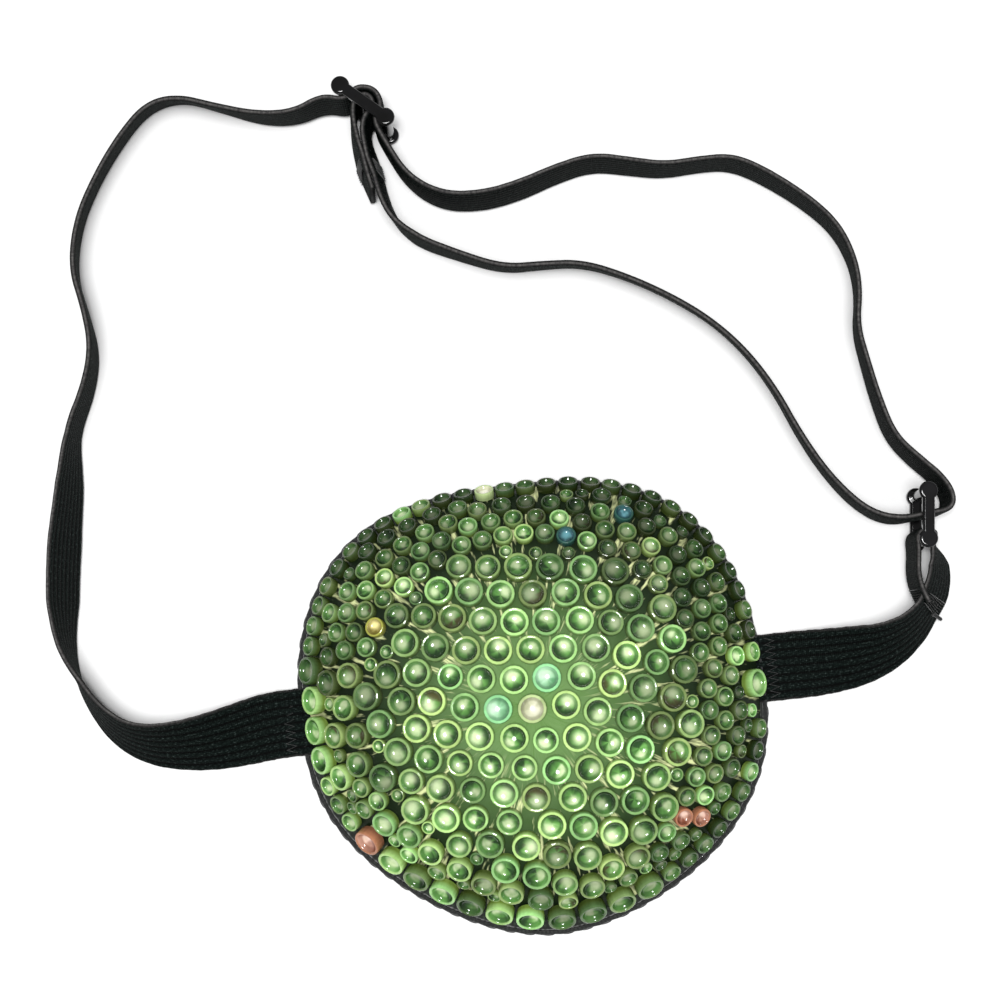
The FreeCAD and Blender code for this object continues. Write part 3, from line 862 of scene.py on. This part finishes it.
def make_stage():
    """White floor, even white surroundings and the lamps."""
    r = FLOOR_REACH
    corners = [(-r, -r, FLOOR_Z), (r, -r, FLOOR_Z), (r, r, FLOOR_Z), (-r, r, FLOOR_Z)]
    floor = mesh_object("floor", corners, [(0, 1, 2, 3)])
    s = Shader("floor", 0.9)
    s.main.inputs["Base Color"].default_value = (0.93, 0.93, 0.93, 1.0)
    floor.data.materials.append(s.material)
    world = bpy.data.worlds.new("studio")
    world.use_nodes = True
    sky = world.node_tree.nodes["Background"]
    sky.inputs["Color"].default_value = (1.0, 1.0, 1.0, 1.0)
    sky.inputs["Strength"].default_value = WORLD_STRENGTH
    bpy.context.scene.world = world
    for lamp in LAMPS:
        area_light(*lamp)
    bpy.context.scene.view_settings.view_transform = "Standard"


# --- Patch ----------------------------------------------------------------------------------
def dome_sheet(name, outer, inner, around=144, along=44, bumps=0.0, low_level=1.0):
    """Closed domed sheet between two surfaces of the dome, with optional small lumps outside."""
    rng = random.Random(7)
    points = []
    faces = []
    tops = []
    for grow, lump in ((outer, bumps), (inner, 0.0)):
        for r in range(along):
            level = low_level * math.sin(0.5 * math.pi * (along - r) / along)
            for k in range(around):
                extra = lump * rng.random()
                points.append(dome_point(level, 360.0 * k / around, grow + extra))
        tops.append(len(points))
        points.append(dome_point(0.0, 0.0, grow))
    stride = along * around + 1
    for sheet in (0, 1):
        base = sheet * stride
        for r in range(along - 1):
            for k in range(around):
                j = (k + 1) % around
                a = base + r * around
                faces.append((a + k, a + j, a + around + j, a + around + k))
        a = base + (along - 1) * around
        for k in range(around):
            faces.append((a + k, a + (k + 1) % around, tops[sheet]))
    for k in range(around):
        j = (k + 1) % around
        faces.append((k, j, stride + j, stride + k))
    obj = mesh_object(name, points, faces)
    outward(obj)
    return obj


def make_layers():
    """The patch's cloth, lining and glue, from the dome's outer surface inwards."""
    depth = COVER_THICK
    cover = dome_sheet("cover_cloth", 0.0, -depth)
    dress(cover, COVER_CLOTH, "cover_fabric", "patch", "outer_cover")
    depth += LAYER_GAP + SHELL_THICK + LAYER_GAP
    lining = dome_sheet("lining_cloth", -depth, -depth - LINING_THICK)
    dress(lining, LINING_CLOTH, "lining_fabric", "patch", "lining")
    glue = dome_sheet("glue_between_stones", LAYER_GAP + GLUE_THICK, LAYER_GAP,
                      around=240, along=80, bumps=0.12, low_level=0.992)
    dress(glue, GLUE, "glue", "patch", "glue_bed")
    dress_node("moulded_shell", SHELL_FELT)


def make_binding():
    """Folded bias tape round the rim: outer wall, sole and a soft fold between, slightly puckered."""
    wall = LAYER_GAP + BINDING_THICK
    section = [
        # distance outside the outline, height, share of the pucker
        (LAYER_GAP, RIM_Z, 0.0),
        (LAYER_GAP, BINDING_WALL - 0.15, 0.0),
        (LAYER_GAP + 0.12, BINDING_WALL, 0.0),
        (wall - 0.12, BINDING_WALL, 0.0),
        (wall, BINDING_WALL - 0.15, 1.0),
        (wall + 0.06, 0.9, 1.0),
        (wall + 0.02, 0.45, 1.0),
        (wall - 0.2, 0.1, 1.0),
        (wall - 0.6, 0.0, 0.0),
        (-1.2, 0.0, 0.0),
        (-BINDING_SOLE_IN + 0.35, 0.0, 0.0),
        (-BINDING_SOLE_IN, 0.2, 0.0),
        (-BINDING_SOLE_IN, RIM_Z - 0.2, 0.0),
        (-BINDING_SOLE_IN + 0.25, RIM_Z - 0.03, 0.0),
        (-1.5, RIM_Z - 0.03, 0.0),
    ]
    around = BINDING_STEPS
    n = len(section)
    points = []
    faces = []
    for i in range(around):
        angle = 360.0 * i / around
        pucker = BINDING_PUCKER * math.sin(i * 2 * math.pi * STITCH_COUNT / around)
        for grow, z, share in section:
            points.append(outline_point(angle, grow + pucker * share, z))
        j = (i + 1) % around
        for k in range(n):
            m = (k + 1) % n
            faces.append((i * n + k, i * n + m, j * n + m, j * n + k))
    obj = mesh_object("binding_tape", points, faces)
    outward(obj)
    dress(obj, BINDING_CLOTH, "binding_fabric", "patch", "edge_binding")


def make_binding_stitches():
    """Lock stitches along the binding's wall and along its sole, each dipping in at its ends."""
    parts = []
    for i in range(STITCH_COUNT):
        start = 360.0 * (i + 0.5) / STITCH_COUNT - WALL_STITCH_SPAN / 2
        stretch = []
        for k in range(6):
            angle = start + WALL_STITCH_SPAN * k / 5
            dip = 0.16 * (abs(k - 2.5) / 2.5) ** 2
            stretch.append(outline_point(angle, LAYER_GAP + BINDING_THICK + 0.12 - dip, 0.52))
        middle = stretch[2]
        past_elastic = abs(middle.y - STRAP_Y) - STRAP_WIDTH / 2
        if past_elastic < STITCH_KEEP_OFF and abs(middle.x) > HALF_WIDTH / 2:
            continue
        parts.append(tube(stretch, WALL_THREAD_R, 6))
    for i in range(STITCH_COUNT):
        start = 360.0 * i / STITCH_COUNT - SOLE_STITCH_SPAN / 2
        stretch = []
        for k in range(5):
            dip = 0.14 * (abs(k - 2) / 2) ** 2
            stretch.append(outline_point(start + SOLE_STITCH_SPAN * k / 4, -1.55, dip - 0.02))
        parts.append(tube(stretch, SOLE_THREAD_R, 6))
    obj = mesh_object("binding_lock_stitches", *joined(parts))
    outward(obj)
    dress(obj, THREAD, "thread", "patch", "binding_stitches")


# --- Stones ---------------------------------------------------------------------------------
MINT_STONE = ((0.34, 0.78, 0.36), (0.18, 0.50, 0.24), (0.72, 0.98, 0.74))
WHITE_STONE = ((0.52, 0.66, 0.30), (0.60, 0.62, 0.38), (1.00, 0.96, 0.86))
BLUE_STONE = ((0.03, 0.10, 0.08), (0.01, 0.05, 0.06), (0.14, 0.36, 0.42))
SALMON_STONE = ((0.48, 0.20, 0.11), (0.34, 0.10, 0.05), (1.00, 0.72, 0.60))
YELLOW_STONE = ((0.42, 0.42, 0.08), (0.28, 0.22, 0.03), (1.00, 0.88, 0.40))
ACCENTS = [
    # x, y, reach, colours of ring, bowl and painted glint highlight
    (0.0, 0.3, 2.0, WHITE_STONE),
    (-5.0, -1.6, 2.4, MINT_STONE),
    (2.0, 5.2, 2.4, MINT_STONE),
    (-4.4, 32.2, 2.0, WHITE_STONE),
    (-25.2, -15.7, 2.2, SALMON_STONE),
    (-26.0, -18.6, 1.8, SALMON_STONE),
    (21.3, -18.4, 1.9, SALMON_STONE),
    (-22.1, 13.9, 2.0, YELLOW_STONE),
    (15.9, 26.8, 2.0, BLUE_STONE),
    (15.3, 24.1, 1.4, SALMON_STONE),
    (8.0, 25.0, 1.8, BLUE_STONE),
]
# Stones near these places get a pool of painted light: x, y, reach.
BRIGHT_RIM = ((-34.7, 4.4, 3.6), (-33.6, 0.5, 3.4), (34.0, 2.0, 4.2), (34.0, -4.0, 2.6),
              (-18.0, -27.5, 3.4), (-14.0, -30.0, 3.4), (-9.0, -32.0, 3.4), (-4.0, -33.0, 3.2),
              (-31.0, -6.0, 3.0), (-24.0, -22.5, 3.2))
STONE_RISE = 0.42
STONE_SIDES = 20
CUT_ROWS = 5               # rows of flat faces below the bowl
FACETS = 10                # round the bowl
GIRDLE_SHARE = 0.97        # of a stone's size, at its back
# Stone colours, each dimmed by the stone's painted light: ring greens, girdle olive, the bowls' painted
# shade in dark green or brown, the painted light on lit facets and the painted glint highlight.
LIME = Vector((0.68, 0.94, 0.32))
MINT = Vector((0.42, 0.82, 0.30))
OLIVE = Vector((0.36, 0.56, 0.10))
BOWL_SHADE = Vector((0.010, 0.030, 0.008))
BROWN = Vector((0.036, 0.034, 0.012))
LIT_FACET = Vector((0.17, 0.44, 0.10))
GLINT = Vector((0.84, 1.00, 0.60))
FLAT_TOLERANCE = 0.05      # how far a stone's corners may lie from its back or its front
FULL_LIGHT_RADIUS = 8.0    # stones this near the middle are lit in full
LIGHT_FALL = 27.0          # distance beyond it over which the light falls off
RIM_LOSS = 0.76            # light lost at the rim
FACING_LOSS = 0.20         # more of it lost towards the top right, less towards the bottom left
BRIGHT_LIGHT = 0.85
SPARK_SHARE = 0.14         # outer stones that happen to catch the light
SPARK_LIGHT = 0.38
MIDDLE_LIGHT_RADIUS = 22.0  # within it the bowls get more painted light
MIDDLE_BOWL_LIGHT = 0.24
BOWL_LIGHT = (0.14, 0.30)   # painted light on a bowl before its slope and facet count
SLOPE_LIGHT = 0.95         # painted light gained on the side away from the patch's middle
WALL_SHARE = 0.4           # of that painted light on the bowl's wall, which is left in painted shade under the ring
FACET_CHANGE = 0.26        # most by which one facet's light differs
RING_SHARE = 0.5           # of that difference on the cut ring
GLINT_PLACE = (0.20, 0.50)  # shares of a stone's radius
GLINT_REACH = (0.22, 0.46)
GLINT_ANGLE = 1.1          # most by which a stone's lit side turns, in radians
STONE_ROWS = (
    # radius share, height share, tone: 0 girdle, 1 cut ring, 2 bowl wall, 3 bowl
    (GIRDLE_SHARE, 0.00, 0),
    (1.00, 0.32, 0),
    (0.99, 0.84, 1),
    (0.965, 0.96, 1),
    (0.89, 1.00, 1),
    (0.81, 0.98, 1),
    (0.76, 0.86, 2),
    (0.71, 0.70, 2),
    (0.62, 0.58, 2),
    (0.50, 0.48, 3),
    (0.38, 0.43, 3),
    (0.25, 0.40, 3),
    (0.12, 0.38, 3),
    (0.03, 0.38, 3),
)


def loose_solids(node):
    """Corner points of each solid of a CAD node, in mm."""
    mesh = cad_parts[node].data
    bm = bmesh.new()
    bm.from_mesh(mesh)
    bmesh.ops.remove_doubles(bm, verts=bm.verts, dist=1e-6)
    seen = set()
    solids = []
    for first in bm.verts:
        if first.index in seen:
            continue
        seen.add(first.index)
        stack = [first]
        corners = []
        while stack:
            vert = stack.pop()
            corners.append(vert.co / MM)
            for edge in vert.link_edges:
                other = edge.other_vert(vert)
                if other.index not in seen:
                    seen.add(other.index)
                    stack.append(other)
        solids.append(corners)
    bm.free()
    return solids


def stone_facts(corners):
    """Middle of the back, direction and size of a flat-backed stone, from its corners."""
    cloud = np.array([tuple(c) for c in corners])
    middle = cloud.mean(axis=0)
    _, _, axes = np.linalg.svd(cloud - middle)
    normal = axes[2]
    heights = (cloud - middle) @ normal
    low = cloud[heights < heights.min() + FLAT_TOLERANCE]
    high = cloud[heights > heights.max() - FLAT_TOLERANCE]
    low_size = np.linalg.norm(low - low.mean(axis=0), axis=1).mean()
    high_size = np.linalg.norm(high - high.mean(axis=0), axis=1).mean()
    if high_size > low_size:
        normal = -normal
        low, low_size = high, high_size
    size = 2.0 * low_size / GIRDLE_SHARE
    return Vector(low.mean(axis=0)), Vector(normal), size


def stone_light(spot, rng):
    """How much painted light a stone gets, from 0 to 1: most in the middle, least at the top right edge.
    """
    radius = math.hypot(spot.x, spot.y)
    fall = max(0.0, (radius - FULL_LIGHT_RADIUS) / LIGHT_FALL) ** 0.85
    facing = (0.8 * spot.y + 0.6 * spot.x) / max(radius, 1.0)
    light = 1.0 - fall * (RIM_LOSS + FACING_LOSS * facing)
    light += rng.uniform(-0.26, 0.22) * min(1.0, radius / 14.0)
    for x, y, reach in BRIGHT_RIM:
        if math.hypot(spot.x - x, spot.y - y) < reach:
            light = max(light, BRIGHT_LIGHT)
    # Painted sparkles: some outer stones get extra light at random.
    if radius > 12.0 and rng.random() < SPARK_SHARE:
        light += SPARK_LIGHT
    return min(1.0, max(0.05, light))


def stone_tones(spot, rng):
    """Colours of one stone's girdle, ring, bowl wall, bowl, painted lit facets and painted glint, dimmed
    by the painted light at its place.
    """
    light = stone_light(spot, rng)
    warm = rng.random()
    for x, y, reach, colours in ACCENTS:
        if math.hypot(spot.x - x, spot.y - y) < reach:
            ring, bowl, glint = (Vector(colour) for colour in colours)
            # Accent stones get painted shade on the girdle and bowl wall, and painted light on the lit
            # facets and glint.
            return ring * 0.6, ring, bowl * 0.5, bowl * 0.7, bowl.lerp(glint, 0.3), glint
    # All the colours are dimmed by the painted light; the bowl wall and bowl are painted shade.
    ring = MINT.lerp(LIME, warm) * (0.04 + 0.96 * light ** 1.6)
    girdle = OLIVE * (0.04 + 0.60 * light ** 1.5)
    bowl_shade = (BOWL_SHADE if warm < 0.92 else BROWN) * (0.35 + 1.3 * light)
    lit_facet = LIT_FACET * (0.14 + 0.86 * light)
    glint = GLINT * (0.10 + 0.90 * light ** 1.2)
    return girdle, ring, bowl_shade, bowl_shade * 1.6, lit_facet, glint


def gem(spot, normal, size, rng):
    """Points, faces and colours of one stone: a cut crown ring round a faceted glassy bowl, with painted
    light, shade and glint in its colours.
    """
    height = size * STONE_RISE
    radius = size / 2
    turn = normal.to_track_quat("Z", "Y").to_matrix()
    spin = rng.uniform(0.0, 2.0 * math.pi)
    *tones, lit_facet, glint = stone_tones(spot, rng)
    outer = Vector((spot.x, spot.y, 0.0))
    middle = max(0.0, 1.0 - outer.length / MIDDLE_LIGHT_RADIUS)
    toward = outer.normalized() if outer.length > 3.0 else Vector((0.2, -0.4, 0.0))
    toward.rotate(Euler((0.0, 0.0, rng.uniform(-GLINT_ANGLE, GLINT_ANGLE))))
    centre = toward * (radius * rng.uniform(*GLINT_PLACE))
    spread = radius * rng.uniform(*GLINT_REACH)
    facets = [rng.uniform(-FACET_CHANGE, FACET_CHANGE) for _ in range(FACETS)]
    bowl_light = rng.uniform(*BOWL_LIGHT) + MIDDLE_BOWL_LIGHT * middle
    points = []
    colours = []
    faces = []
    for share, rise, tone in STONE_ROWS:
        for k in range(STONE_SIDES):
            a = spin + 2.0 * math.pi * k / STONE_SIDES
            reach = turn @ Vector((share * radius * math.cos(a), share * radius * math.sin(a),
                                   rise * height))
            points.append(spot + reach)
            colour = Vector(tones[tone])
            facet = facets[k * FACETS // STONE_SIDES]
            # Painted light differs from one ring facet to the next.
            if tone == 1:
                colour *= 1.0 + RING_SHARE * facet
            if tone >= 2:
                # Painted light on the bowl: lit on the side away from the patch's middle and facet by
                # facet, the wall kept in painted shade.
                flat = Vector((reach.x, reach.y, 0.0))
                lit = bowl_light + SLOPE_LIGHT * flat.dot(toward) / radius + facet
                lit *= WALL_SHARE if tone == 2 else 1.0
                colour = colour.lerp(lit_facet, min(1.0, max(0.0, 2.0 * lit)))
                colour = colour.lerp(glint, min(1.0, max(0.0, 2.0 * lit - 1.0)))
                # Painted glint highlight: a soft bright blob in the bowl.
                away = (flat - centre).length / spread
                colour = colour.lerp(glint, math.exp(-away ** 3))
            colours.append(colour)
    for r in range(len(STONE_ROWS) - 1):
        base = r * STONE_SIDES
        for k in range(STONE_SIDES):
            j = (k + 1) % STONE_SIDES
            faces.append((base + k, base + j, base + STONE_SIDES + j, base + STONE_SIDES + k))
    last = (len(STONE_ROWS) - 1) * STONE_SIDES
    faces.append(tuple(last + k for k in range(STONE_SIDES)))
    faces.append(tuple(range(STONE_SIDES - 1, -1, -1)))
    return points, faces, colours


def make_stones():
    """Every stone of every stone node, at its solid's place and size."""
    nodes = sorted(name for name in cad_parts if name.startswith("stone"))
    for number, node in enumerate(nodes):
        rng = random.Random(100 + number)
        parts = []
        colours = []
        for corners in loose_solids(node):
            spot, normal, size = stone_facts(corners)
            points, faces, tones = gem(spot, normal, size, rng)
            parts.append((points, faces))
            colours += tones
        obj = mesh_object("gems_" + node.replace("stones_", "").replace("stone_", ""), *joined(parts))
        # Each stone's colours, with its painted light, shade and highlights, go into the tone attribute.
        tone = obj.data.attributes.new("tone", "FLOAT_COLOR", "POINT")
        flat = [value for colour in colours for value in (*colour, 1.0)]
        tone.data.foreach_set("color", flat)
        faces_each = len(parts[0][1])
        cut = CUT_ROWS * STONE_SIDES
        smooth = [cut <= i % faces_each < faces_each - 1 for i in range(len(obj.data.polygons))]
        obj.data.polygons.foreach_set("use_smooth", smooth)
        dress(obj, STONE, "stone_green", "patch", node)


# --- Threads and hardware -------------------------------------------------------------------
def make_bartack(name, node, body, strap, side, starts):
    """Zigzag thread on one face of a strap, from each start (a control point) one way along it."""
    parts = []
    for number, way in starts:
        start = strap.length[strap.marks[number]]
        points = []
        for i in range(BARTACK_TURNS * 2 + 1):
            step = BARTACK_START + i * BARTACK_LENGTH / (BARTACK_TURNS * 2)
            middle, along, turn = strap.at(start + way * step)
            wide, thin = strap_axes(along, turn, strap.side)
            place = middle + wide * (BARTACK_REACH if i % 2 else -BARTACK_REACH)
            points.append(place + thin * (side * (STRAP_THICK / 2 + BARTACK_LIFT)))
        parts.append(tube(points, BARTACK_THREAD_R, 6))
    obj = mesh_object(name, *joined(parts))
    outward(obj)
    return dress(obj, THREAD, "thread", body, node)


def make_threads(short, loop):
    """Bartacks, the stitches in the elastic's two sewn ends, and the loose thread end."""
    loop_tack = make_bartack("loop_bartack", "end_loop_bartack", "slider", loop, -1,
                             ((1, -1), (len(loop.marks) - 2, 1)))
    short_tack = make_bartack("short_bartack", "short_strap_bartack", "strap", short, 1,
                              ((len(TWIST_RIGHT) - 1, 1), (len(short.marks) - 1, -1)))
    for side, name in ((-1, "root_stitches_left"), (1, "root_stitches_right")):
        points = []
        for i in range(ROOT_ZIGZAG_POINTS):
            x = side * (ROOT_ZIGZAG_X + (ROOT_ZIGZAG_WIDTH if i % 2 else 0.0))
            y = STRAP_Y + (i - ROOT_ZIGZAG_POINTS // 2) * ROOT_ZIGZAG_STEP
            points.append(Vector((x, y, ROOT_Z + STRAP_THICK + 0.1)))
        obj = mesh_object(name.replace("root_stitches", "root_zigzag"), *tube(points, ROOT_THREAD_R, 6))
        outward(obj)
        dress(obj, THREAD, "thread", "patch", name)
    nub = []
    for i in range(THREAD_END_POINTS):
        t = i / (THREAD_END_POINTS - 1)
        x, y, z = (a + b * t for a, b in zip(THREAD_END_START, THREAD_END_RUN))
        nub.append(Vector((x, y + THREAD_END_WAVE * math.sin(5 * t), z)))
    thread = mesh_object("thread_end", *tube(nub, THREAD_END_R, 8))
    outward(thread)
    dress(thread, THREAD, "thread", "strap", "loose_thread")
    dress_node("slider", NYLON)
    dress_node("ring", NYLON)
    return loop_tack, short_tack, thread


make_camera()
band, band_path, band_length = make_long_strap()
short_strap, short_run = make_short_strap()
sewn_loop, loop_run = make_end_loop()
loop_tack, short_tack, thread_end = make_threads(short_run, loop_run)
make_layers()
make_binding()
make_binding_stitches()
make_stones()
make_stage()
